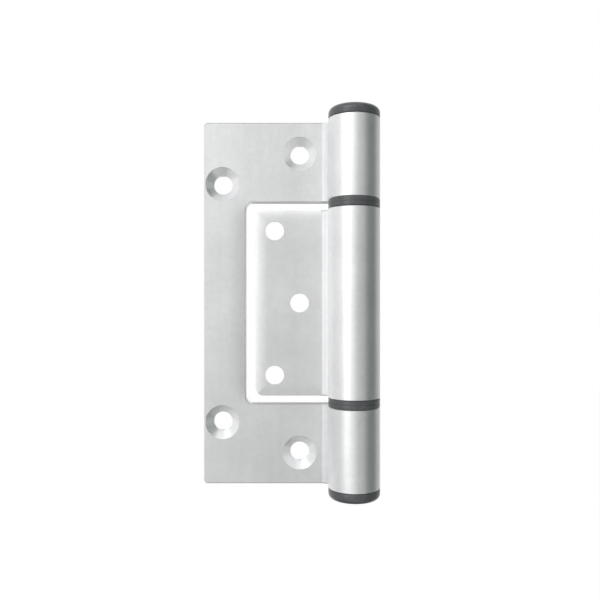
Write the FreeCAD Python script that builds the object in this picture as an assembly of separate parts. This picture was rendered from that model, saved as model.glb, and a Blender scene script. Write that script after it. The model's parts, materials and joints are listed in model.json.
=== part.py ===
import FreeCAD, Part
import math
import os

Vector = FreeCAD.Vector

# Offset interfold hinge, closed: the inner leaf lies in the outer leaf's window, both in one plane.
# Everything is modelled about the pin, which stands along Z at mid-height. The leaves reach towards -X,
# their backs touch the barrel's back at +Y, and the barrel stands out towards -Y.
# The finished pieces are then moved to the frame of the outer leaf's edge screws.
# Sizes are in millimetres.

# Barrel, from the pin outwards
PIN_RADIUS = 4.0
BUSH_WALL = 1.0
BARREL_WALL = 2.0

# Leaves, as extruded
LEAF_THICKNESS = 3.0
BARREL_FILLET = 2.0
INNER_LEAF_WIDTH = 20.0
SWING_GAP = 2.7
SIDE_BAR_WIDTH = 11.6

# Knuckle lengths along the pin
MIDDLE_KNUCKLE_LENGTH = 51.4
OUTER_KNUCKLE_LENGTH = 22.1

# Corners of the leaves, seen from the front
OUTER_CORNER_RADIUS = 1.0
WINDOW_CORNER_RADIUS = 2.0
INNER_CORNER_RADIUS = 2.2

# Edges: a small chamfer where the metal was sawn or punched, a shallow roll along the inner leaf's front
EDGE_BREAK = 0.3
EDGE_ROLL_WIDTH = 3.2
EDGE_ROLL_RADIUS = 14.0

# Screw holes: clearance hole, countersink for the head, and places in from the leaves' own edges
SCREW_HOLE_RADIUS = 2.6
SCREW_HEAD_RADIUS = 4.7
BARREL_SIDE_HOLE_INSET = 7.8
OUTER_EDGE_HOLE_INSET = 5.1
OUTER_EDGE_HOLE_FROM_END = 17.0
OUTER_BAR_HOLE_FROM_END = 8.6
INNER_EDGE_HOLE_INSET = 5.3
INNER_EDGE_HOLE_FROM_END = 5.7

# Bushes and the pin
FLANGE_THICKNESS = 1.07
FLANGE_PLAY = 0.06
RUNNING_CLEARANCE = 0.05
PRESS_CLEARANCE = 0.01
BUSH_END_GAP = 1.8
PIN_END_GAP = 0.5
PIN_CHAMFER = 0.5

# End caps: a plug under a head with a wide rounded edge
CAP_PLUG_LENGTH = 6.0
CAP_RIM_HEIGHT = 1.25
CAP_EDGE_RADIUS = 1.6

# How near an edge has to lie to a plane to be counted as in it, and how far a cutter overruns
IN_PLANE = 0.001
OVERRUN = 1.0

# Worked out from the sizes above
knuckle_bore_radius = PIN_RADIUS + BUSH_WALL
barrel_radius = knuckle_bore_radius + BARREL_WALL
leaf_front = barrel_radius - LEAF_THICKNESS
leaf_back = barrel_radius
knuckle_gap = 2 * FLANGE_THICKNESS + FLANGE_PLAY
inner_half_height = MIDDLE_KNUCKLE_LENGTH / 2
window_half_height = inner_half_height + knuckle_gap
outer_half_height = window_half_height + OUTER_KNUCKLE_LENGTH
inner_reach = barrel_radius + INNER_LEAF_WIDTH
window_reach = inner_reach + SWING_GAP
outer_reach = window_reach + SIDE_BAR_WIDTH

# Round where a leaf's front face runs into the barrel: its centre and the two ends of the arc
fillet_centre = Vector(
    -math.sqrt((barrel_radius + BARREL_FILLET) ** 2 - (leaf_front - BARREL_FILLET) ** 2),
    leaf_front - BARREL_FILLET,
    0,
)
fillet_on_leaf = Vector(fillet_centre.x, leaf_front, 0)
fillet_on_barrel = fillet_centre * (barrel_radius / (barrel_radius + BARREL_FILLET))

# Screw places as (x, z) about the pin
barrel_side_hole_x = -(barrel_radius + BARREL_SIDE_HOLE_INSET)
outer_edge_hole_x = OUTER_EDGE_HOLE_INSET - outer_reach
outer_edge_hole_z = outer_half_height - OUTER_EDGE_HOLE_FROM_END
outer_bar_hole_z = outer_half_height - OUTER_BAR_HOLE_FROM_END
inner_edge_hole_x = INNER_EDGE_HOLE_INSET - inner_reach
inner_edge_hole_z = inner_half_height - INNER_EDGE_HOLE_FROM_END

# The part's origin is midway between the outer leaf's edge screws, on the face that meets the frame
to_part_frame = Vector(-outer_edge_hole_x, -leaf_back, 0)


def polyline(*points):
    """Straight edges from point to point."""
    return [Part.LineSegment(a, b).toShape() for a, b in zip(points, points[1:])]


def arc_about(centre, radius, start_degrees, end_degrees):
    """An arc in the XY plane that turns from one angle to the other."""
    points = []
    for degrees in (start_degrees, (start_degrees + end_degrees) / 2, end_degrees):
        angle = math.radians(degrees)
        points.append(centre + Vector(math.cos(angle), math.sin(angle), 0) * radius)
    return Part.Arc(*points).toShape()


def edges_in_plane(shape, axis, place):
    """The edges that lie wholly in the plane across an axis ("X", "Y" or "Z") at a place along it."""
    found = []
    for edge in shape.Edges:
        low = getattr(edge.BoundBox, axis + "Min")
        high = getattr(edge.BoundBox, axis + "Max")
        if abs(low - place) < IN_PLANE and abs(high - place) < IN_PLANE:
            found.append(edge)
    return found


def edges_in_both_planes(shape, x_place, z_places):
    """The edges along Y at one x and any of several z."""
    found = []
    for edge in edges_in_plane(shape, "X", x_place):
        if any(abs(edge.CenterOfMass.z - z) < IN_PLANE for z in z_places):
            found.append(edge)
    return found


def extruded_leaf(reach, half_height):
    """Barrel and leaf in one section, extruded along the pin. The leaf's back is tangent to the barrel."""
    touch_degrees = math.degrees(math.atan2(fillet_on_barrel.y, fillet_on_barrel.x))
    section = [
        arc_about(fillet_centre, BARREL_FILLET, 90, touch_degrees - 180),
        arc_about(Vector(0, 0, 0), barrel_radius, touch_degrees, 360 + 90),
    ]
    section += polyline(
        Vector(0, leaf_back, 0),
        Vector(-reach, leaf_back, 0),
        Vector(-reach, leaf_front, 0),
        fillet_on_leaf,
    )
    face = Part.Face(Part.Wire(Part.__sortEdges__(section)))
    face.translate(Vector(0, 0, -half_height))
    return face.extrude(Vector(0, 0, 2 * half_height))


def window_cutter():
    """The outer leaf's window: rounded at its far corners, open through the barrel's middle."""
    right = barrel_radius + OVERRUN
    cutter = Part.makeBox(
        window_reach + right,
        2 * right,
        2 * window_half_height,
        Vector(-window_reach, -right, -window_half_height),
    )
    corners = edges_in_both_planes(cutter, -window_reach, (-window_half_height, window_half_height))
    return cutter.makeFillet(WINDOW_CORNER_RADIUS, corners)


def bore_cutter():
    """The knuckles' bore, through the whole barrel."""
    length = 2 * (outer_half_height + OVERRUN)
    return Part.makeCylinder(knuckle_bore_radius, length, Vector(0, 0, -length / 2))


def screw_cutter(x, z, head_face, inward):
    """A screw hole at (x, z), with a right-angled countersink in the face at y = head_face."""
    direction = Vector(0, inward, 0)
    start = Vector(x, head_face, z)
    hole = Part.makeCylinder(
        SCREW_HOLE_RADIUS,
        LEAF_THICKNESS + 2 * OVERRUN,
        start - direction * OVERRUN,
        direction,
    )
    countersink = Part.makeCone(
        SCREW_HEAD_RADIUS + OVERRUN,
        SCREW_HOLE_RADIUS,
        SCREW_HEAD_RADIUS - SCREW_HOLE_RADIUS + OVERRUN,
        start - direction * OVERRUN,
        direction,
    )
    return hole.fuse(countersink)


def outer_leaf():
    """Frame side: upper and lower knuckle, with the window between them and four screws from the front."""
    ends = (-outer_half_height, outer_half_height)
    leaf = extruded_leaf(outer_reach, outer_half_height)
    leaf = leaf.makeFillet(OUTER_CORNER_RADIUS, edges_in_both_planes(leaf, -outer_reach, ends))
    outline = [edge for z in ends for edge in edges_in_plane(leaf, "Z", z)]
    leaf = leaf.makeChamfer(EDGE_BREAK, outline)
    leaf = leaf.cut(window_cutter())
    window_ends = (-window_half_height, window_half_height)
    window_edges = [edge for z in window_ends for edge in edges_in_plane(leaf, "Z", z)]
    leaf = leaf.makeChamfer(EDGE_BREAK, window_edges)
    leaf = leaf.cut(bore_cutter())
    for side in (-1, 1):
        leaf = leaf.cut(screw_cutter(outer_edge_hole_x, side * outer_edge_hole_z, leaf_front, 1))
        leaf = leaf.cut(screw_cutter(barrel_side_hole_x, side * outer_bar_hole_z, leaf_front, 1))
    return leaf


def edge_roll_cutter(run):
    """What rolling an edge over takes off a face at y = 0: from x = 0 towards -X, for a run along +Z."""
    turn_degrees = math.degrees(math.asin((EDGE_ROLL_WIDTH + OVERRUN) / EDGE_ROLL_RADIUS))
    roll = arc_about(Vector(0, EDGE_ROLL_RADIUS, 0), EDGE_ROLL_RADIUS, -90, -90 - turn_degrees)
    outside = roll.Vertexes[-1].Point
    outline = polyline(
        outside,
        Vector(outside.x, -OVERRUN, 0),
        Vector(0, -OVERRUN, 0),
        Vector(0, 0, 0),
    )
    face = Part.Face(Part.Wire(Part.__sortEdges__([roll] + outline)))
    return face.extrude(Vector(0, 0, run))


def edge_roll_cutters():
    """The rolls along the inner leaf's free edges. Those at its ends stop where the fillet starts."""
    side_run = 2 * (inner_half_height + OVERRUN)
    end_run = inner_reach + OVERRUN + fillet_on_leaf.x
    side = edge_roll_cutter(side_run)
    side.translate(Vector(EDGE_ROLL_WIDTH - inner_reach, leaf_front, -side_run / 2))
    upper = edge_roll_cutter(end_run)
    upper.rotate(Vector(0, 0, 0), Vector(0, 1, 0), 90)
    upper.translate(Vector(fillet_on_leaf.x - end_run, leaf_front, inner_half_height - EDGE_ROLL_WIDTH))
    lower = upper.mirror(Vector(0, 0, 0), Vector(0, 0, 1))
    return [side, upper, lower]


def inner_leaf():
    """Panel side: the middle knuckle, with rolled front edges and three screws from the back."""
    ends = (-inner_half_height, inner_half_height)
    leaf = extruded_leaf(inner_reach, inner_half_height)
    leaf = leaf.makeFillet(INNER_CORNER_RADIUS, edges_in_both_planes(leaf, -inner_reach, ends))
    for cutter in edge_roll_cutters():
        leaf = leaf.cut(cutter)
    rim = []
    for z in ends:
        for edge in edges_in_plane(leaf, "Z", z):
            if edge.BoundBox.XMax > fillet_on_leaf.x + IN_PLANE:
                rim.append(edge)
    leaf = leaf.makeChamfer(EDGE_BREAK, rim)
    leaf = leaf.cut(bore_cutter())
    leaf = leaf.cut(screw_cutter(barrel_side_hole_x, 0, leaf_back, -1))
    for side in (-1, 1):
        leaf = leaf.cut(screw_cutter(inner_edge_hole_x, side * inner_edge_hole_z, leaf_back, -1))
    return leaf


def turned(outline):
    """A closed outline in the XZ plane, turned about Z."""
    face = Part.Face(Part.Wire(Part.__sortEdges__(outline)))
    return face.revolve(Vector(0, 0, 0), Vector(0, 0, 1), 360)


def set_at(piece, z, up):
    """A turned piece moved to a height along the pin, upright or upside down."""
    if not up:
        piece = piece.copy()
        piece.rotate(Vector(0, 0, 0), Vector(1, 0, 0), 180)
    return piece.translated(Vector(0, 0, z))


def flanged_bush():
    """A sleeve below z = 0 and, above it, a flange as wide as the barrel."""
    bore = PIN_RADIUS + RUNNING_CLEARANCE
    sleeve = knuckle_bore_radius - PRESS_CLEARANCE
    sleeve_length = OUTER_KNUCKLE_LENGTH - CAP_PLUG_LENGTH - BUSH_END_GAP
    outline = polyline(
        Vector(bore, 0, -sleeve_length),
        Vector(sleeve, 0, -sleeve_length),
        Vector(sleeve, 0, 0),
        Vector(barrel_radius, 0, 0),
        Vector(barrel_radius, 0, FLANGE_THICKNESS),
        Vector(bore, 0, FLANGE_THICKNESS),
        Vector(bore, 0, -sleeve_length),
    )
    return turned(outline)


def end_cap():
    """A plug below z = 0 and, above it, a head as wide as the barrel with a rounded edge."""
    plug = knuckle_bore_radius - PRESS_CLEARANCE
    top = CAP_RIM_HEIGHT + CAP_EDGE_RADIUS
    edge_centre = Vector(barrel_radius - CAP_EDGE_RADIUS, 0, CAP_RIM_HEIGHT)
    edge_middle = edge_centre + Vector(1, 0, 1).normalize() * CAP_EDGE_RADIUS
    edge_start = Vector(barrel_radius, 0, CAP_RIM_HEIGHT)
    edge_end = Vector(edge_centre.x, 0, top)
    outline = polyline(
        edge_end,
        Vector(0, 0, top),
        Vector(0, 0, -CAP_PLUG_LENGTH),
        Vector(plug, 0, -CAP_PLUG_LENGTH),
        Vector(plug, 0, 0),
        Vector(barrel_radius, 0, 0),
        edge_start,
    )
    outline.append(Part.Arc(edge_start, edge_middle, edge_end).toShape())
    return turned(outline)


def hinge_pin():
    """Round pin with chamfered ends, held between the two cap plugs."""
    half_length = outer_half_height - CAP_PLUG_LENGTH - PIN_END_GAP
    pin = Part.makeCylinder(PIN_RADIUS, 2 * half_length, Vector(0, 0, -half_length))
    ends = edges_in_plane(pin, "Z", half_length) + edges_in_plane(pin, "Z", -half_length)
    return pin.makeChamfer(PIN_CHAMFER, ends)


def pieces():
    """Every piece by its name, about the pin."""
    bush = flanged_bush()
    cap = end_cap()
    return {
        "outer_leaf": outer_leaf(),
        "inner_leaf": inner_leaf(),
        "hinge_pin": hinge_pin(),
        "upper_end_cap": set_at(cap, outer_half_height, True),
        "lower_end_cap": set_at(cap, -outer_half_height, False),
        "upper_knuckle_bush": set_at(bush, window_half_height, False),
        "lower_knuckle_bush": set_at(bush, -window_half_height, True),
        "middle_knuckle_upper_bush": set_at(bush, inner_half_height, True),
        "middle_knuckle_lower_bush": set_at(bush, -inner_half_height, False),
    }


def main():
    os.makedirs("parts", exist_ok=True)
    for name, piece in pieces().items():
        piece.translated(to_part_frame).exportStep(os.path.join("parts", name + ".step"))


main()
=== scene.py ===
import json
import math
from collections import namedtuple

import bmesh
import bpy
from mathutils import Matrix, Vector


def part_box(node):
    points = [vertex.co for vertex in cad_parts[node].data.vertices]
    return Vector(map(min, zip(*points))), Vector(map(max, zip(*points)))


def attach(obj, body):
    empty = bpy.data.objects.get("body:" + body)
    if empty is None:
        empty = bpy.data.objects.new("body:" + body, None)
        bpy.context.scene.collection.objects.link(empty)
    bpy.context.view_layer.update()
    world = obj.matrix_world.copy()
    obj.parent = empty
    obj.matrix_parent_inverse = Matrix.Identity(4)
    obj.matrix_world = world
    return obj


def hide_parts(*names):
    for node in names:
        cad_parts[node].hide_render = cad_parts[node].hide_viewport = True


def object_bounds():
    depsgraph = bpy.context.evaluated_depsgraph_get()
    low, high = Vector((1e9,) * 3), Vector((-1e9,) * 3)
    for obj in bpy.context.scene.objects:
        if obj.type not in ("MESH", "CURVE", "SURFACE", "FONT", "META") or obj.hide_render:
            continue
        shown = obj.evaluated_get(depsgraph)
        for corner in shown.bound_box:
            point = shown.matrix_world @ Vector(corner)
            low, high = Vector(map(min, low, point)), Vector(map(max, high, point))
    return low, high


bl_info = {
    "name": "Offset interfold hinge",
    "version": (1, 0, 0),
    "blender": (4, 5, 0),
    "location": "3D View > Sidebar > Hinge",
    "description": "Finishes an aluminium interfold hinge and sets it in a white studio",
    "category": "Object",
}

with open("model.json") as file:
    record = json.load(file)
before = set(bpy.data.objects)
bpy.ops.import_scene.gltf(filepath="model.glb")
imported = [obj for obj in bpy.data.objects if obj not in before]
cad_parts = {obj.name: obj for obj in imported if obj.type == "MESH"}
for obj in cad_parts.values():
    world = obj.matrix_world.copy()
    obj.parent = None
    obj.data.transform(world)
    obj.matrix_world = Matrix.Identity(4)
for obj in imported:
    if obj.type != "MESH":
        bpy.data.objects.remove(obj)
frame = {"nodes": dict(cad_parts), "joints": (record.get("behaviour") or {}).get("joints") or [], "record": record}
CAD_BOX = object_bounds()
SLOT_COLOURS = {row["slot"]: tuple(row["base_color"]) for row in frame["record"]["materials"]}

ALUMINIUM = "satin_aluminium"
PLASTIC = "charcoal_plastic"
STEEL = "pin_steel"
LEAVES = ("outer_leaf", "inner_leaf")
PIN = "hinge_pin"
FRAME_SIDE = "frame_side"
PANEL_SIDE = "panel_side"
# Moulded pieces, each with the way that its top or its flange faces: 1 is up and -1 is down
CAPS = {"upper_end_cap": 1, "lower_end_cap": -1}
BUSHES = {
    "upper_knuckle_bush": (FRAME_SIDE, -1),
    "lower_knuckle_bush": (FRAME_SIDE, 1),
    "middle_knuckle_upper_bush": (PANEL_SIDE, 1),
    "middle_knuckle_lower_bush": (PANEL_SIDE, -1),
}

# Places and sizes that the frame gives, in metres
MM = 0.001
PIN_AXIS = Vector(frame["joints"][0]["pos_m"])
HINGE_MIDDLE = (CAD_BOX[0] + CAD_BOX[1]) / 2
MOUNTS = {mount["name"]: mount for mount in frame["record"]["mounts"]}
LEAF_FRONT = MOUNTS["panel_face"]["pos_m"][1]
BARREL_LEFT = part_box("upper_end_cap")[0].x
FLANGE_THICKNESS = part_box("middle_knuckle_upper_bush")[1].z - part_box("inner_leaf")[1].z
FLANGE_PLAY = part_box("upper_knuckle_bush")[0].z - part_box("middle_knuckle_upper_bush")[1].z
WINDOW_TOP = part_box("upper_knuckle_bush")[0].z + FLANGE_THICKNESS

# Zones of the hinge's front, from left to right: where each starts or ends
WINDOW_GAP = 2.7 * MM
FILLET_REACH = 1.8 * MM
FILLET_STOP = 0.2 * MM
FLANK_WIDTH = 2.4 * MM
WINDOW_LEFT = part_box("inner_leaf")[0].x - WINDOW_GAP
FILLET_LEFT = BARREL_LEFT - FILLET_REACH
FILLET_RIGHT = BARREL_LEFT - FILLET_STOP
FLANK_RIGHT = BARREL_LEFT + FLANK_WIDTH
# How gradually the zones of the fillet and the barrel's flank begin and end
FILLET_START_BLEND = 0.5 * MM
FILLET_END_BLEND = 0.6 * MM
FLANK_BLEND = 2.6 * MM
# Shares of the window's half height between which the fall at its side dies out
WINDOW_FADE = (0.8, 1.05)
# A radius about a screw's axis that takes in the whole countersink
COUNTERSINK_REACH = 5 * MM

# How squarely a surface faces along an axis, from where one kind of surface gives way to the next
END_FACE = (0.97, 0.995)
CUT_WALL = (0.2, 0.3)
SLOPE_STARTS = (0.6, 0.66)
SLOPE_ENDS = (0.76, 0.82)
ROLLED_EDGE = (0.975, 0.998)
EDGE_SLOPE = math.sin(math.pi / 4)

# Textures: how finely noise and marks break up, and how far marks wander off their line
SOFT_DETAIL = 2.0
FINE_DETAIL = 3.0
SAW_WANDER = 2.5
TOOL_WANDER = 0.6
GRINDING_WANDER = 1.5
# One period of the wave texture at scale 1
WAVE_PERIOD = math.pi / 10
# The bump distance for a height that is in metres already
TRUE_HEIGHT = 1.0

# Turned and rounded meshes
TURN_STEPS = 128
CAP_EDGE_STEPS = 10
LIP_STEPS = 3
FLANGE_EDGE_STEPS = 4
CREASE_ANGLE = math.radians(35)
MERGE_DISTANCE = 0.001 * MM
RING_TOLERANCE = 0.005 * MM
# Where a cap's crown bends, as a share of its radius, and how much of the crown has dropped away there
CROWN_BEND = 0.45
CROWN_DROP = 0.2

# Softboxes and cards, all facing the hinge: bearing to the right of the camera and elevation in degrees,
# distance, width and height in metres
LightPanel = namedtuple("LightPanel", "bearing elevation distance width height")
KEY_SOFTBOX = LightPanel(-34, 16, 0.4, 0.21, 0.52)
OVERHEAD_SOFTBOX = LightPanel(-22, 40, 0.6, 0.62, 0.24)
RIGHT_CARD = LightPanel(27, 0, 0.5, 0.42, 0.8)
SIDE_CARD = LightPanel(77, 0, 0.26, 0.28, 1.2)
REAR_CARD = LightPanel(122, 0, 0.3, 0.19, 0.6)
UNDER_CARD = LightPanel(0, -90, 0.3, 0.5, 0.36)
LOW_CARD = LightPanel(-78, -32, 0.4, 0.4, 0.3)
WHITE = (1, 1, 1)
# A lamp of this many watts per square metre has a face as bright as white.
WHITE_WATTS = 4


def length(name, default, description):
    """A size in metres that a user may change."""
    return bpy.props.FloatProperty(
        name=name, description=description, default=default, min=0, unit="LENGTH", precision=5
    )


def place(name, default, description):
    """A point in the part's frame, in metres."""
    return bpy.props.FloatVectorProperty(
        name=name, description=description, default=default, subtype="TRANSLATION", precision=4
    )


def share(name, default, description):
    """A number from 0 to 1."""
    return bpy.props.FloatProperty(
        name=name, description=description, default=default, min=0, max=1, subtype="FACTOR"
    )


def lightness(name, default, description):
    """How light a surface is, where 1 is its own colour, or a softbox or card, where 1 is white."""
    return bpy.props.FloatProperty(name=name, description=description, default=default, min=0)


def colour(name, default, description):
    """A linear colour."""
    return bpy.props.FloatVectorProperty(
        name=name, description=description, default=default, min=0, max=1, subtype="COLOR"
    )


class AluminiumFinish(bpy.types.PropertyGroup):
    """Satin anodised extrusion, sawn to length, punched and countersunk."""

    colour: colour("Colour", SLOT_COLOURS[ALUMINIUM], "Colour of the anodised metal on the barrel")
    barrel_roughness: share("Barrel roughness", 0.38, "How satin the barrel is")
    # Painted shade: the flat leaves are made darker than the barrel's metal.
    leaf_painted_shade: lightness("Leaf tone", 0.8, "How light the flat leaves are")
    leaf_roughness: share("Leaf roughness", 0.5, "How satin the flat leaves are")
    # Painted reflection: the knuckles' sides next to the leaves are made lighter than the barrel, most on the
    # middle knuckle.
    flank_painted_reflection: lightness("Flank tone", 1.33, "How light the middle knuckle's side is next to its leaf")
    outer_flank_painted_reflection: lightness("Outer flank tone", 1.1, "How light the outer knuckles' sides are")
    # Painted light: the rounds between the leaves and the barrel get a lightness of their own, lighter on the
    # inner leaf than on the outer.
    fillet_painted_light: lightness("Fillet tone", 1.02, "How light the inner leaf's round to the barrel is")
    outer_fillet_painted_light: lightness("Outer fillet tone", 0.95, "How light the outer leaf's round is")
    fillet_roughness: share("Fillet roughness", 0.64, "How satin the rounds and knuckles' sides are")
    roll_roughness: share("Roll roughness", 0.38, "How satin the rolled edges are")
    # Painted shade: the sawn ends and the window's walls facing up and down are made darker.
    sawn_painted_shade: lightness("Sawn tone", 0.66, "How light the sawn ends are")
    # Painted light: the milled sides of the leaves, the window and the holes are made lighter.
    milled_painted_light: lightness("Milled tone", 1.15, "How light the milled sides of leaves and holes are")
    cut_roughness: share("Cut roughness", 0.6, "How rough the sawn ends and milled sides are")
    # Painted light and shade: broken edges facing up are made darker and those facing down lighter.
    upper_edge_painted_shade: lightness("Upper edge tone", 0.68, "How light the broken edges on top are")
    lower_edge_painted_light: lightness("Lower edge tone", 1.2, "How light the broken edges below are")
    # Painted light: the countersinks are made lighter than the barrel's metal.
    countersink_painted_light: lightness("Countersink tone", 1.06, "How light the countersinks are")
    countersink_roughness: share("Countersink roughness", 0.3, "How rough the countersinks are")
    countersink_flare: share("Countersink flare", 0.12, "How much countersinks open to their rims")
    clouding: share("Clouding", 0.1, "How much the anodising varies from place to place")
    cloud_size: length("Cloud size", 11 * MM, "Width of the patches in the anodising")
    mottling: share("Mottling", 0.06, "How much the small blotches in the anodising vary")
    mottle_size: length("Mottle size", 1.3 * MM, "Width of the small blotches")
    streaking: share("Streaking", 0.03, "How much the drawn streaks along the pin vary")
    streak_width: length("Streak width", 1.8 * MM, "Width of a drawn streak")
    streak_run: length("Streak run", 45 * MM, "Length of a drawn streak along the pin")
    die_line_pitch: length("Die line pitch", 0.35 * MM, "Width of the extrusion die's lines")
    die_line_run: length("Die line run", 60 * MM, "Length of a die line along the pin")
    die_line_depth: length("Die line depth", 0.0012 * MM, "Depth of a die line")
    grain_size: length("Grain size", 0.12 * MM, "Size of the etched grain")
    grain_depth: length("Grain depth", 0.0015 * MM, "Depth of the etched grain")
    saw_mark_pitch: length("Saw mark pitch", 0.5 * MM, "Spacing of saw marks on the cut ends")
    saw_mark_depth: length("Saw mark depth", 0.006 * MM, "Depth of the saw marks")
    ring_pitch: length("Tool ring pitch", 0.35 * MM, "Spacing of tool rings in the countersinks")
    ring_depth: length("Tool ring depth", 0.01 * MM, "Depth of the tool rings")
    window_roll_width: length("Window roll width", 5 * MM, "Width of the fall at the window's side")
    window_roll_depth: length("Window roll depth", 0.4 * MM, "Depth of that fall")
    foot_width: length("Barrel foot width", 7 * MM, "Width of the soft rise to the barrel")
    foot_height: length("Barrel foot height", 0.25 * MM, "Height of that rise")


class PlasticFinish(bpy.types.PropertyGroup):
    """Charcoal plastic with a fine moulded grain."""

    colour: colour("Colour", SLOT_COLOURS[PLASTIC], "Colour of the plastic")
    cast: colour("Cast", (0.94, 1.0, 0.99), "Faint cast of the plastic's skin")
    tone: lightness("Tone", 0.89, "How light the plastic's skin is")
    roughness: share("Roughness", 0.24, "How matt the plastic is")
    refraction: bpy.props.FloatProperty(
        name="Refraction", description="Index of refraction, which sets the sheen", default=1.6, min=1
    )
    grain_size: length("Grain size", 0.16 * MM, "Size of the moulded grain")
    grain_depth: length("Grain depth", 0.006 * MM, "Depth of the moulded grain")
    flow_width: length("Flow mark width", 3 * MM, "Width of the soft flow marks")
    flow_height: length("Flow mark height", 1 * MM, "Height of the flow marks along the pin")
    flow: share("Flow marks", 0.25, "How much the flow marks vary in tone")
    flow_sheen: share("Flow mark sheen", 0.1, "How much the flow marks vary in roughness")


class SteelFinish(bpy.types.PropertyGroup):
    """Ground steel of the pin."""

    colour: colour("Colour", SLOT_COLOURS[STEEL], "Colour of the steel")
    roughness: share("Roughness", 0.28, "How fine the grinding is")
    ring_pitch: length("Grinding pitch", 0.1 * MM, "Spacing of the grinding marks along the pin")
    ring_depth: length("Grinding depth", 0.002 * MM, "Depth of the grinding marks")
    ring_tone: share("Grinding tone", 0.05, "How much the grinding marks vary in tone")
    ring_sheen: share("Grinding sheen", 0.04, "How much the grinding marks vary in roughness")


class CapShape(bpy.types.PropertyGroup):
    """Plastic caps that plug the barrel's ends."""

    plug_radius: length("Plug radius", 4.99 * MM, "Radius of the plug in the barrel")
    edge_radius: length("Edge radius", 1.55 * MM, "Round between the cap's rim and its top")
    crown: length("Crown", 0.12 * MM, "How much the top rises towards its middle")
    lip: length("Lip", 0.14 * MM, "Small round where the rim meets the barrel")


class BushShape(bpy.types.PropertyGroup):
    """Flanged plastic bushes between the knuckles."""

    bore_radius: length("Bore radius", 4.05 * MM, "Radius of the hole for the pin")
    sleeve_radius: length("Sleeve radius", 4.99 * MM, "Radius of the sleeve in the knuckle")
    edge: length("Edge", 0.05 * MM, "Round on the flange's outer edges")
    running_gap: length("Running gap", 0.008 * MM, "Gap between two flanges that meet")


class Studio(bpy.types.PropertyGroup):
    """White studio: camera, lamps, cards and floor."""

    camera_place: place("Camera", (22.41 * MM, -182.63 * MM, 0), "Where the camera stands")
    lens: bpy.props.FloatProperty(
        name="Lens", description="Focal length in millimetres on a 36 mm sensor", default=38.9, min=1
    )
    shift: bpy.props.FloatVectorProperty(
        name="Shift", description="Lens shift that frames the hinge", default=(-0.0054, 0.0051), size=2
    )
    ambient: share("Ambient", 0.62, "Brightness of the room on matt surfaces")
    floor_drop: length("Floor drop", 0.5, "How far the floor lies below the hinge")
    floor_size: length("Floor size", 8.0, "Width of the floor")
    floor_colour: colour("Floor colour", (0.8, 0.8, 0.8), "Colour of the floor")
    floor_lift: share("Floor lift", 0.5, "How much the floor is lightened where it is seen")
    key: lightness("Key softbox", 0.72, "Brightness of the softbox on the left")
    overhead: lightness("Overhead softbox", 0.86, "Brightness of the softbox above, to the left")
    right_card: lightness("Right card", 0.57, "Brightness of the grey card right of the camera")
    side_card: lightness("Side card", 0.22, "Brightness of the dark card at the barrel's side")
    side_tint: colour("Side card tint", (0.9, 1.0, 0.96), "Faint tint of the dark card")
    rear_card: lightness("Rear card", 0.6, "Brightness of the grey card behind, to the right")
    under_card: lightness("Under card", 0.33, "Brightness of the grey card below the hinge")
    low_card: lightness("Low card", 0.72, "Brightness of the pale card low on the left")


class HingeSettings(bpy.types.PropertyGroup):
    """Everything that a user would change."""

    aluminium: bpy.props.PointerProperty(type=AluminiumFinish, name="Aluminium")
    plastic: bpy.props.PointerProperty(type=PlasticFinish, name="Plastic")
    steel: bpy.props.PointerProperty(type=SteelFinish, name="Steel")
    caps: bpy.props.PointerProperty(type=CapShape, name="End caps")
    bushes: bpy.props.PointerProperty(type=BushShape, name="Bushes")
    studio: bpy.props.PointerProperty(type=Studio, name="Studio")


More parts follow.
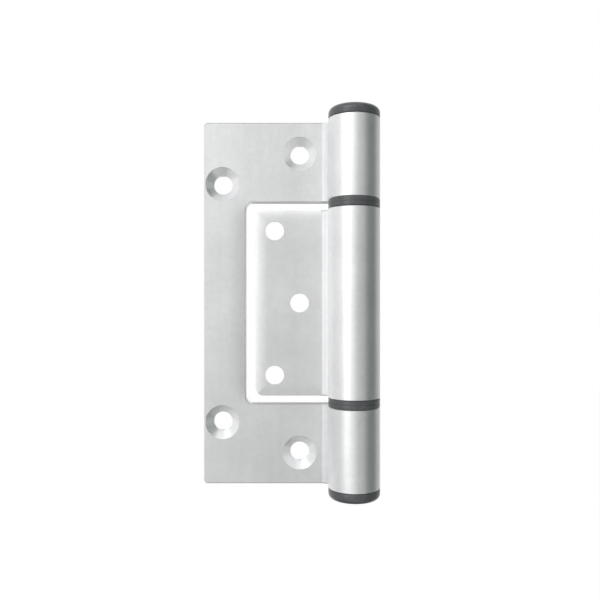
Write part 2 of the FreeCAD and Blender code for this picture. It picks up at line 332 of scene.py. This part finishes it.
class NodeBench:
    """Adds and joins the nodes of one node tree."""

    def __init__(self, owner):
        owner.use_nodes = True
        self.tree = owner.node_tree
        self.tree.nodes.clear()

    def add(self, kind, inputs=None, **settings):
        """A node with its settings, and with its inputs set to values or joined to outputs."""
        node = self.tree.nodes.new(kind)
        for name, value in settings.items():
            setattr(node, name, value)
        for key, value in (inputs or {}).items():
            if isinstance(value, bpy.types.NodeSocket):
                self.tree.links.new(value, node.inputs[key])
            else:
                node.inputs[key].default_value = value
        return node

    def maths(self, operation, *values):
        """One step of arithmetic on values or outputs."""
        node = self.add("ShaderNodeMath", dict(enumerate(values)), operation=operation)
        return node.outputs["Value"]

    def chain(self, operation, values):
        """Some values or outputs put together by one operation."""
        result = values[0]
        for value in values[1:]:
            result = self.maths(operation, result, value)
        return result

    def total(self, *values):
        """The sum of some values or outputs."""
        return self.chain("ADD", values)

    def product(self, *values):
        """The product of some values or outputs."""
        return self.chain("MULTIPLY", values)

    def swing(self, value, amount):
        """A value from 0 to 1 made to swing about zero by an amount."""
        return self.maths("MULTIPLY_ADD", value, 2 * amount, -amount)

    def spread(self, value, low, high, to_low, to_high):
        """A value's range from low to high laid over another range, with a smooth start and end."""
        node = self.add(
            "ShaderNodeMapRange",
            {"Value": value, "From Min": low, "From Max": high, "To Min": to_low, "To Max": to_high},
            interpolation_type="SMOOTHSTEP",
        )
        return node.outputs["Result"]

    def ramp(self, value, low, high):
        """A value's range from low to high laid over 0 to 1."""
        node = self.add("ShaderNodeMapRange", {"Value": value, "From Min": low, "From Max": high})
        return node.outputs["Result"]

    def parts_of(self, output):
        """X, Y and Z of the object's own coordinates ("Object") or of its normal ("Normal")."""
        vector = self.add("ShaderNodeTexCoord").outputs[output]
        return list(self.add("ShaderNodeSeparateXYZ", {"Vector": vector}).outputs)

    def stretched_noise(self, sizes, detail=SOFT_DETAIL):
        """Noise on the object's own coordinates, whose features have the given X, Y and Z sizes."""
        where = self.add("ShaderNodeTexCoord").outputs["Object"]
        scale = [1 / size for size in sizes]
        placed = self.add("ShaderNodeMapping", {"Vector": where, "Scale": scale}).outputs["Vector"]
        noise = self.add("ShaderNodeTexNoise", {"Vector": placed, "Scale": 1.0, "Detail": detail})
        return noise.outputs["Fac"]

    def noise(self, size, detail=SOFT_DETAIL):
        """Noise whose features have one size all ways."""
        return self.stretched_noise((size, size, size), detail)

    def lines(self, direction, pitch, wander):
        """Fine parallel marks, one pitch apart along an axis, that wander a little."""
        where = self.add("ShaderNodeTexCoord").outputs["Object"]
        wave = self.add(
            "ShaderNodeTexWave",
            {
                "Vector": where,
                "Scale": WAVE_PERIOD / pitch,
                "Distortion": wander,
                "Detail": FINE_DETAIL,
            },
            bands_direction=direction,
        )
        return wave.outputs["Fac"]

    def shaded(self, base, factor):
        """A colour times a factor."""
        inputs = {0: base, "Scale": factor}
        return self.add("ShaderNodeVectorMath", inputs, operation="SCALE").outputs["Vector"]

    def towards(self, start, end, factor):
        """A number that goes from one value to another as a factor goes from 0 to 1."""
        return self.add("ShaderNodeMix", {"Factor": factor, "A": start, "B": end}).outputs["Result"]

    def bump(self, height, depth, under=None):
        """A bump of a real depth, over another one if given."""
        inputs = {"Height": height, "Distance": depth, "Strength": 1.0}
        if under is not None:
            inputs["Normal"] = under
        return self.add("ShaderNodeBump", inputs).outputs["Normal"]

    def surface(self, shader, output="BSDF"):
        """The shader on the material's surface."""
        self.add("ShaderNodeOutputMaterial", {"Surface": shader.outputs[output]})


def screw_places():
    """Each (x, height above and below the middle) of the leaves' screw holes, from the mounts."""
    places = []
    for mount in MOUNTS.values():
        if mount["kind"] in ("bolt_pattern", "bore"):
            spacing = mount["dims"].get("spacing_y_mm", 0) * MM
            places.append((mount["pos_m"][0], spacing / 2))
    return places


def from_screws(bench, across, along):
    """How far a point of a leaf is from the axis of the nearest screw hole."""
    squares = []
    for x, height in screw_places():
        aside = bench.maths("SUBTRACT", across, x)
        beyond = bench.maths("SUBTRACT", bench.maths("ABSOLUTE", along), height)
        squares.append(bench.total(bench.product(aside, aside), bench.product(beyond, beyond)))
    return bench.maths("SQRT", bench.chain("MINIMUM", squares))


def leaf_relief(bench, finish, across, along, front):
    """The leaf's soft fall towards the window's side and its rise towards the barrel, as a bump."""
    fade_start, fade_end = (part * WINDOW_TOP for part in WINDOW_FADE)
    in_window = bench.spread(bench.maths("ABSOLUTE", along), fade_start, fade_end, 1, 0)
    before_window = bench.maths("LESS_THAN", across, WINDOW_LEFT)
    fall = bench.ramp(across, WINDOW_LEFT - finish.window_roll_width, WINDOW_LEFT)
    fall = bench.product(fall, fall, in_window, before_window, front)
    rise = bench.ramp(across, FILLET_LEFT - finish.foot_width, FILLET_LEFT)
    rise = bench.product(rise, rise, front)
    height = bench.total(
        bench.product(fall, -finish.window_roll_depth),
        bench.product(rise, finish.foot_height),
    )
    return bench.bump(height, TRUE_HEIGHT)


def satin_aluminium(bench, finish):
    """Anodised extrusion: die lines along the pin, etched grain, sawn ends and turned countersinks, with painted
    light and shade in the tones of its zones.
    """
    across, depth, along = bench.parts_of("Object")
    _, facing_front, facing_end = bench.parts_of("Normal")
    square_on = bench.maths("ABSOLUTE", facing_front)
    end_on = bench.maths("ABSOLUTE", facing_end)

    front = bench.maths("LESS_THAN", depth, LEAF_FRONT / 2)
    on_leaf = bench.maths("LESS_THAN", across, FILLET_LEFT)
    on_outer_leaf = bench.maths("GREATER_THAN", bench.maths("ABSOLUTE", along), WINDOW_TOP)
    # The leaf's flat back runs on as far as the pin's axis, where it meets the barrel.
    barrel_start = bench.towards(PIN_AXIS.x, FILLET_LEFT, front)
    past_start = bench.maths("SUBTRACT", across, barrel_start)
    on_barrel = bench.spread(past_start, 0, FILLET_REACH, 0, 1)
    in_fillet = bench.product(
        bench.spread(across, FILLET_LEFT, FILLET_LEFT + FILLET_START_BLEND, 0, 1),
        bench.spread(across, FILLET_RIGHT - FILLET_END_BLEND, FILLET_RIGHT, 1, 0),
        front,
    )
    on_flank = bench.product(
        bench.spread(across, FILLET_LEFT, FILLET_RIGHT, 0, 1),
        bench.spread(across, FLANK_RIGHT - FLANK_BLEND, FLANK_RIGHT, 1, 0),
        front,
    )
    rolled = bench.product(bench.spread(square_on, *ROLLED_EDGE, 1, 0), on_leaf)
    sawn_ends = bench.spread(end_on, *END_FACE, 0, 1)
    milled_sides = bench.product(bench.spread(square_on, *CUT_WALL, 1, 0), on_leaf)
    slopes = bench.product(
        bench.spread(square_on, *SLOPE_STARTS, 0, 1),
        bench.spread(square_on, *SLOPE_ENDS, 1, 0),
        on_leaf,
    )
    from_screw = from_screws(bench, across, along)
    countersinks = bench.product(slopes, bench.maths("LESS_THAN", from_screw, COUNTERSINK_REACH))

    # Painted light and shade on the broken edges: darker where they face up, lighter where they face down.
    upwards = bench.ramp(facing_end, -EDGE_SLOPE, EDGE_SLOPE)
    edge_painted_light_and_shade = bench.towards(finish.lower_edge_painted_light, finish.upper_edge_painted_shade, upwards)
    # Painted reflection on the knuckles' sides: lighter than the barrel, most on the middle knuckle.
    flank_painted_reflection = bench.towards(finish.flank_painted_reflection, finish.outer_flank_painted_reflection, on_outer_leaf)
    # Painted light on the rounds to the barrel, less on the outer leaf's.
    fillet_painted_light = bench.towards(finish.fillet_painted_light, finish.outer_fillet_painted_light, on_outer_leaf)
    # The flat leaves start from a painted shade, darker than the barrel.
    light = finish.leaf_painted_shade
    roughness = finish.leaf_roughness
    for zone, zone_tone, zone_roughness in (
        (on_barrel, 1.0, finish.barrel_roughness),
        (on_flank, flank_painted_reflection, finish.fillet_roughness),
        (in_fillet, fillet_painted_light, finish.fillet_roughness),
        (rolled, finish.leaf_painted_shade, finish.roll_roughness),
        # painted light on the milled sides
        (milled_sides, finish.milled_painted_light, finish.cut_roughness),
        # painted shade on the sawn ends and the window's walls facing up and down
        (sawn_ends, finish.sawn_painted_shade, finish.cut_roughness),
        (slopes, edge_painted_light_and_shade, finish.leaf_roughness),
        # painted light on the countersinks
        (countersinks, finish.countersink_painted_light, finish.countersink_roughness),
    ):
        light = bench.towards(light, zone_tone, zone)
        roughness = bench.towards(roughness, zone_roughness, zone)

    streak_sizes = (finish.streak_width, finish.streak_width, finish.streak_run)
    unevenness = bench.total(
        bench.swing(bench.noise(finish.cloud_size, FINE_DETAIL), finish.clouding),
        bench.swing(bench.noise(finish.mottle_size, FINE_DETAIL), finish.mottling),
        bench.swing(bench.stretched_noise(streak_sizes), finish.streaking),
        1.0,
    )

    die_line_sizes = (finish.die_line_pitch, finish.die_line_pitch, finish.die_line_run)
    saw_marks = bench.product(bench.lines("X", finish.saw_mark_pitch, SAW_WANDER), sawn_ends)
    rings = bench.product(bench.lines("Y", finish.ring_pitch, TOOL_WANDER), countersinks)
    flare = bench.product(from_screw, countersinks, -finish.countersink_flare)
    relief = leaf_relief(bench, finish, across, along, front)
    for height, mark_depth in (
        (bench.stretched_noise(die_line_sizes), finish.die_line_depth),
        (bench.noise(finish.grain_size), finish.grain_depth),
        (saw_marks, finish.saw_mark_depth),
        (rings, finish.ring_depth),
        (flare, TRUE_HEIGHT),
    ):
        relief = bench.bump(height, mark_depth, relief)
    shader = bench.add(
        "ShaderNodeBsdfPrincipled",
        {
            "Base Color": bench.shaded(finish.colour, bench.product(light, unevenness)),
            "Roughness": roughness,
            "Metallic": 1.0,
            "Normal": relief,
        },
    )
    bench.surface(shader)


def charcoal_plastic(bench, finish):
    """Moulded plastic: fine spark-eroded grain and soft flow marks."""
    grain = bench.noise(finish.grain_size)
    flow_sizes = (finish.flow_width, finish.flow_width, finish.flow_height)
    flow = bench.stretched_noise(flow_sizes, FINE_DETAIL)
    skin = [part * cast for part, cast in zip(finish.colour, finish.cast)]
    light = bench.total(bench.swing(flow, finish.flow), finish.tone)
    shader = bench.add(
        "ShaderNodeBsdfPrincipled",
        {
            "Base Color": bench.shaded(skin, light),
            "Roughness": bench.total(bench.swing(flow, finish.flow_sheen), finish.roughness),
            "IOR": finish.refraction,
            "Normal": bench.bump(grain, finish.grain_depth),
        },
    )
    bench.surface(shader)


def ground_steel(bench, finish):
    """Centreless ground steel: fine marks round the pin."""
    rings = bench.lines("Z", finish.ring_pitch, GRINDING_WANDER)
    light = bench.total(bench.swing(rings, finish.ring_tone), 1.0)
    shader = bench.add(
        "ShaderNodeBsdfPrincipled",
        {
            "Base Color": bench.shaded(finish.colour, light),
            "Roughness": bench.total(bench.swing(rings, finish.ring_sheen), finish.roughness),
            "Metallic": 1.0,
            "Normal": bench.bump(rings, finish.ring_depth),
        },
    )
    bench.surface(shader)


def dress(piece, material):
    """One material on the whole of a piece, in place of what it had."""
    piece.data.materials.clear()
    piece.data.materials.append(material)


def finished(slot, build, finish):
    """The material of a slot, made the first time it is asked for."""
    name = slot + "_finish"
    material = bpy.data.materials.get(name)
    if material is None:
        material = bpy.data.materials.new(name)
        build(NodeBench(material), finish)
    return material


def piece_from(mesh, name):
    """A bmesh as a smooth-shaded object at the origin, with its creases kept sharp."""
    data = bpy.data.meshes.new(name)
    mesh.to_mesh(data)
    mesh.free()
    data.shade_smooth()
    data.set_sharp_from_angle(angle=CREASE_ANGLE)
    piece = bpy.data.objects.new(name, data)
    bpy.context.scene.collection.objects.link(piece)
    return piece


def turned(outline):
    """An outline of (radius, height) points turned about the pin's axis."""
    mesh = bmesh.new()
    corners = [(PIN_AXIS.x + radius, PIN_AXIS.y, height) for radius, height in outline]
    points = [mesh.verts.new(corner) for corner in corners]
    edges = [mesh.edges.new(pair) for pair in zip(points, points[1:])]
    bmesh.ops.spin(
        mesh,
        geom=points + edges,
        cent=PIN_AXIS,
        axis=(0, 0, 1),
        angle=2 * math.pi,
        steps=TURN_STEPS,
        use_merge=True,
    )
    bmesh.ops.remove_doubles(mesh, verts=mesh.verts, dist=MERGE_DISTANCE)
    bmesh.ops.recalc_face_normals(mesh, faces=mesh.faces)
    return mesh


def ring_edges(mesh, radius, height):
    """The edges of one circle about the pin."""

    def on_ring(vertex):
        off_axis = math.hypot(vertex.co.x - PIN_AXIS.x, vertex.co.y - PIN_AXIS.y)
        at_radius = abs(off_axis - radius) < RING_TOLERANCE
        return at_radius and abs(vertex.co.z - height) < RING_TOLERANCE

    return [edge for edge in mesh.edges if all(on_ring(vertex) for vertex in edge.verts)]


def round_over(mesh, edges, radius, segments):
    """A round of a given radius along some edges."""
    bmesh.ops.bevel(
        mesh,
        geom=edges,
        offset=radius,
        offset_type="OFFSET",
        segments=segments,
        profile=0.5,
        affect="EDGES",
        material=-1,
    )


def end_cap(name, up, shape):
    """One cap: a plug in the barrel under a head with a wide round edge and a slightly crowned top."""
    low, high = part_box(name)
    barrel_low, barrel_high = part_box("outer_leaf")
    rim_radius = (high.x - low.x) / 2
    if up > 0:
        top, seat, plug_end = high.z, barrel_high.z, low.z
    else:
        top, seat, plug_end = low.z, barrel_low.z, high.z
    shoulder = top - up * shape.crown
    outline = [
        (0, plug_end),
        (shape.plug_radius, plug_end),
        (shape.plug_radius, seat),
        (rim_radius, seat),
        (rim_radius, shoulder),
        (rim_radius * CROWN_BEND, top - up * shape.crown * CROWN_DROP),
        (0, top),
    ]
    mesh = turned(outline)
    round_over(mesh, ring_edges(mesh, rim_radius, shoulder), shape.edge_radius, CAP_EDGE_STEPS)
    round_over(mesh, ring_edges(mesh, rim_radius, seat), shape.lip, LIP_STEPS)
    return piece_from(mesh, name + "_moulded")


def flanged_bush(name, up, shape):
    """One bush: a sleeve in its knuckle and a flange with rounded edges that meets the next one."""
    low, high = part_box(name)
    rim_radius = (high.x - low.x) / 2
    face, sleeve_end = (high.z, low.z) if up > 0 else (low.z, high.z)
    seat = face - up * FLANGE_THICKNESS
    # Two flanges that meet share out their play down to the running gap, so that no light shows there.
    face += up * (FLANGE_PLAY - shape.running_gap) / 2
    outline = [
        (shape.bore_radius, sleeve_end),
        (shape.sleeve_radius, sleeve_end),
        (shape.sleeve_radius, seat),
        (rim_radius, seat),
        (rim_radius, face),
        (shape.bore_radius, face),
        (shape.bore_radius, sleeve_end),
    ]
    mesh = turned(outline)
    for height in (seat, face):
        round_over(mesh, ring_edges(mesh, rim_radius, height), shape.edge, FLANGE_EDGE_STEPS)
    return piece_from(mesh, name + "_moulded")


def stand_for(piece, node, body):
    """A modelled piece takes a node's place on its body."""
    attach(piece, body)
    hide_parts(node)


def seen_directly(bench):
    """1 for rays from the camera, and for rays that metal or glass sends on, or else 0."""
    rays = bench.add("ShaderNodeLightPath").outputs
    kinds = ("Is Camera Ray", "Is Glossy Ray", "Is Transmission Ray")
    return bench.chain("MAXIMUM", [rays[kind] for kind in kinds])


def white_world(ambient):
    """White to the camera and in reflections, and a softer ambient light on matt surfaces."""
    world = bpy.data.worlds.new("white_studio")
    bench = NodeBench(world)
    room = bench.towards(ambient, 1.0, seen_directly(bench))
    white = bench.add("ShaderNodeBackground", {"Color": (*WHITE, 1), "Strength": room})
    bench.add("ShaderNodeOutputWorld", {"Surface": white.outputs["Background"]})
    bpy.context.scene.world = world


def stage_plane(name, centre, across, up):
    """A flat panel about its centre, with its half-sides given as vectors."""
    mesh = bmesh.new()
    bmesh.ops.create_grid(mesh, x_segments=1, y_segments=1, size=1)
    for vertex in mesh.verts:
        vertex.co = centre + across * vertex.co.x + up * vertex.co.y
    plane = piece_from(mesh, name)
    return plane


def pale_floor(studio):
    """A floor that reads as white and keeps a faint shadow."""
    half = studio.floor_size / 2
    centre = Vector((HINGE_MIDDLE.x, HINGE_MIDDLE.y, CAD_BOX[0].z - studio.floor_drop))
    floor = stage_plane("floor", centre, Vector((half, 0, 0)), Vector((0, half, 0)))
    material = bpy.data.materials.new("pale_floor")
    bench = NodeBench(material)
    lift = bench.product(seen_directly(bench), studio.floor_lift)
    matt = bench.add("ShaderNodeBsdfDiffuse", {"Color": (*studio.floor_colour, 1)})
    shine = bench.add("ShaderNodeEmission", {"Color": (*WHITE, 1), "Strength": lift})
    both = bench.add("ShaderNodeAddShader", {0: matt.outputs["BSDF"], 1: shine.outputs["Emission"]})
    bench.surface(both, "Shader")
    dress(floor, material)


def set_about_hinge(panel):
    """A panel's centre and its two half-sides, as it faces the hinge."""
    bearing = math.radians(panel.bearing)
    elevation = math.radians(panel.elevation)
    level = math.cos(elevation)
    away = Vector((math.sin(bearing) * level, -math.cos(bearing) * level, math.sin(elevation)))
    across = Vector((math.cos(bearing), math.sin(bearing), 0))
    up = away.cross(across)
    return HINGE_MIDDLE + away * panel.distance, across * panel.width / 2, up * panel.height / 2


def reflected_card(name, panel, glow, tint=WHITE):
    """A plain card that only shows as a reflection in the metal."""
    card = stage_plane(name, *set_about_hinge(panel))
    card.visible_camera = False
    card.visible_diffuse = False
    card.visible_shadow = False
    material = bpy.data.materials.new(name)
    bench = NodeBench(material)
    shine = bench.add("ShaderNodeEmission", {"Color": (*tint, 1), "Strength": glow})
    bench.surface(shine, "Emission")
    dress(card, material)


def softbox(name, panel, glow):
    """An area lamp that faces the hinge and adds its brightness to the white room in reflections."""
    data = bpy.data.lights.new(name, "AREA")
    data.shape = "RECTANGLE"
    data.size = panel.width
    data.size_y = panel.height
    data.energy = WHITE_WATTS * glow * panel.width * panel.height
    lamp = bpy.data.objects.new(name, data)
    lamp.location = set_about_hinge(panel)[0]
    lamp.rotation_euler = (HINGE_MIDDLE - lamp.location).to_track_quat("-Z", "Y").to_euler()
    bpy.context.scene.collection.objects.link(lamp)


def studio_camera(studio):
    """A level camera that looks along +Y."""
    data = bpy.data.cameras.new("camera")
    data.lens = studio.lens
    data.shift_x, data.shift_y = studio.shift
    data.clip_start = 1 * MM
    camera = bpy.data.objects.new("camera", data)
    camera.location = studio.camera_place
    camera.rotation_euler = (math.pi / 2, 0, 0)
    bpy.context.scene.collection.objects.link(camera)
    bpy.context.scene.camera = camera


class HINGE_OT_finish_leaves(bpy.types.Operator):
    """Give both leaves their satin anodised finish"""

    bl_idname = "interfold_hinge.finish_leaves"
    bl_label = "Finish leaves"

    def execute(self, context):
        finish = context.scene.interfold_hinge.aluminium
        for node in LEAVES:
            dress(frame["nodes"][node], finished(ALUMINIUM, satin_aluminium, finish))
        return {"FINISHED"}


class HINGE_OT_finish_pin(bpy.types.Operator):
    """Give the pin its ground finish"""

    bl_idname = "interfold_hinge.finish_pin"
    bl_label = "Finish pin"

    def execute(self, context):
        finish = context.scene.interfold_hinge.steel
        dress(frame["nodes"][PIN], finished(STEEL, ground_steel, finish))
        return {"FINISHED"}


class HINGE_OT_mould_caps(bpy.types.Operator):
    """Model the two end caps"""

    bl_idname = "interfold_hinge.mould_caps"
    bl_label = "Mould end caps"

    def execute(self, context):
        settings = context.scene.interfold_hinge
        for node, up in CAPS.items():
            cap = end_cap(node, up, settings.caps)
            dress(cap, finished(PLASTIC, charcoal_plastic, settings.plastic))
            stand_for(cap, node, FRAME_SIDE)
        return {"FINISHED"}


class HINGE_OT_mould_bushes(bpy.types.Operator):
    """Model the four flanged bushes"""

    bl_idname = "interfold_hinge.mould_bushes"
    bl_label = "Mould bushes"

    def execute(self, context):
        settings = context.scene.interfold_hinge
        for node, (body, up) in BUSHES.items():
            bush = flanged_bush(node, up, settings.bushes)
            dress(bush, finished(PLASTIC, charcoal_plastic, settings.plastic))
            stand_for(bush, node, body)
        return {"FINISHED"}


class HINGE_OT_set_stage(bpy.types.Operator):
    """Set up the floor, cards, lamps, world and camera"""

    bl_idname = "interfold_hinge.set_stage"
    bl_label = "Set stage"

    def execute(self, context):
        studio = context.scene.interfold_hinge.studio
        context.scene.view_settings.view_transform = "Standard"
        white_world(studio.ambient)
        pale_floor(studio)
        reflected_card("right_card", RIGHT_CARD, studio.right_card)
        reflected_card("side_card", SIDE_CARD, studio.side_card, studio.side_tint)
        reflected_card("rear_card", REAR_CARD, studio.rear_card)
        reflected_card("under_card", UNDER_CARD, studio.under_card)
        reflected_card("low_card", LOW_CARD, studio.low_card)
        softbox("key_softbox", KEY_SOFTBOX, studio.key)
        softbox("overhead_softbox", OVERHEAD_SOFTBOX, studio.overhead)
        studio_camera(studio)
        return {"FINISHED"}


class HINGE_PT_sidebar(bpy.types.Panel):
    """Lists the hinge's pieces and its stage"""

    bl_idname = "HINGE_PT_sidebar"
    bl_label = "Interfold hinge"
    bl_space_type = "VIEW_3D"
    bl_region_type = "UI"
    bl_category = "Hinge"

    def draw(self, context):
        settings = context.scene.interfold_hinge
        for operator, groups in PANEL_ROWS:
            box = self.layout.box()
            box.operator(operator.bl_idname)
            for group in groups:
                sizes = getattr(settings, group)
                for name in sizes.bl_rna.properties.keys():
                    if name not in ("rna_type", "name"):
                        box.prop(sizes, name)


PANEL_ROWS = (
    (HINGE_OT_finish_leaves, ("aluminium",)),
    (HINGE_OT_finish_pin, ("steel",)),
    (HINGE_OT_mould_caps, ("caps", "plastic")),
    (HINGE_OT_mould_bushes, ("bushes",)),
    (HINGE_OT_set_stage, ("studio",)),
)
CLASSES = (
    AluminiumFinish,
    PlasticFinish,
    SteelFinish,
    CapShape,
    BushShape,
    Studio,
    HingeSettings,
    HINGE_OT_finish_leaves,
    HINGE_OT_finish_pin,
    HINGE_OT_mould_caps,
    HINGE_OT_mould_bushes,
    HINGE_OT_set_stage,
    HINGE_PT_sidebar,
)


def register():
    for cls in CLASSES:
        bpy.utils.register_class(cls)
    bpy.types.Scene.interfold_hinge = bpy.props.PointerProperty(type=HingeSettings)


def unregister():
    del bpy.types.Scene.interfold_hinge
    for cls in reversed(CLASSES):
        bpy.utils.unregister_class(cls)


def main():
    register()
    bpy.ops.interfold_hinge.finish_leaves()
    bpy.ops.interfold_hinge.finish_pin()
    bpy.ops.interfold_hinge.mould_caps()
    bpy.ops.interfold_hinge.mould_bushes()
    bpy.ops.interfold_hinge.set_stage()


if __name__ == "__main__":
    main()
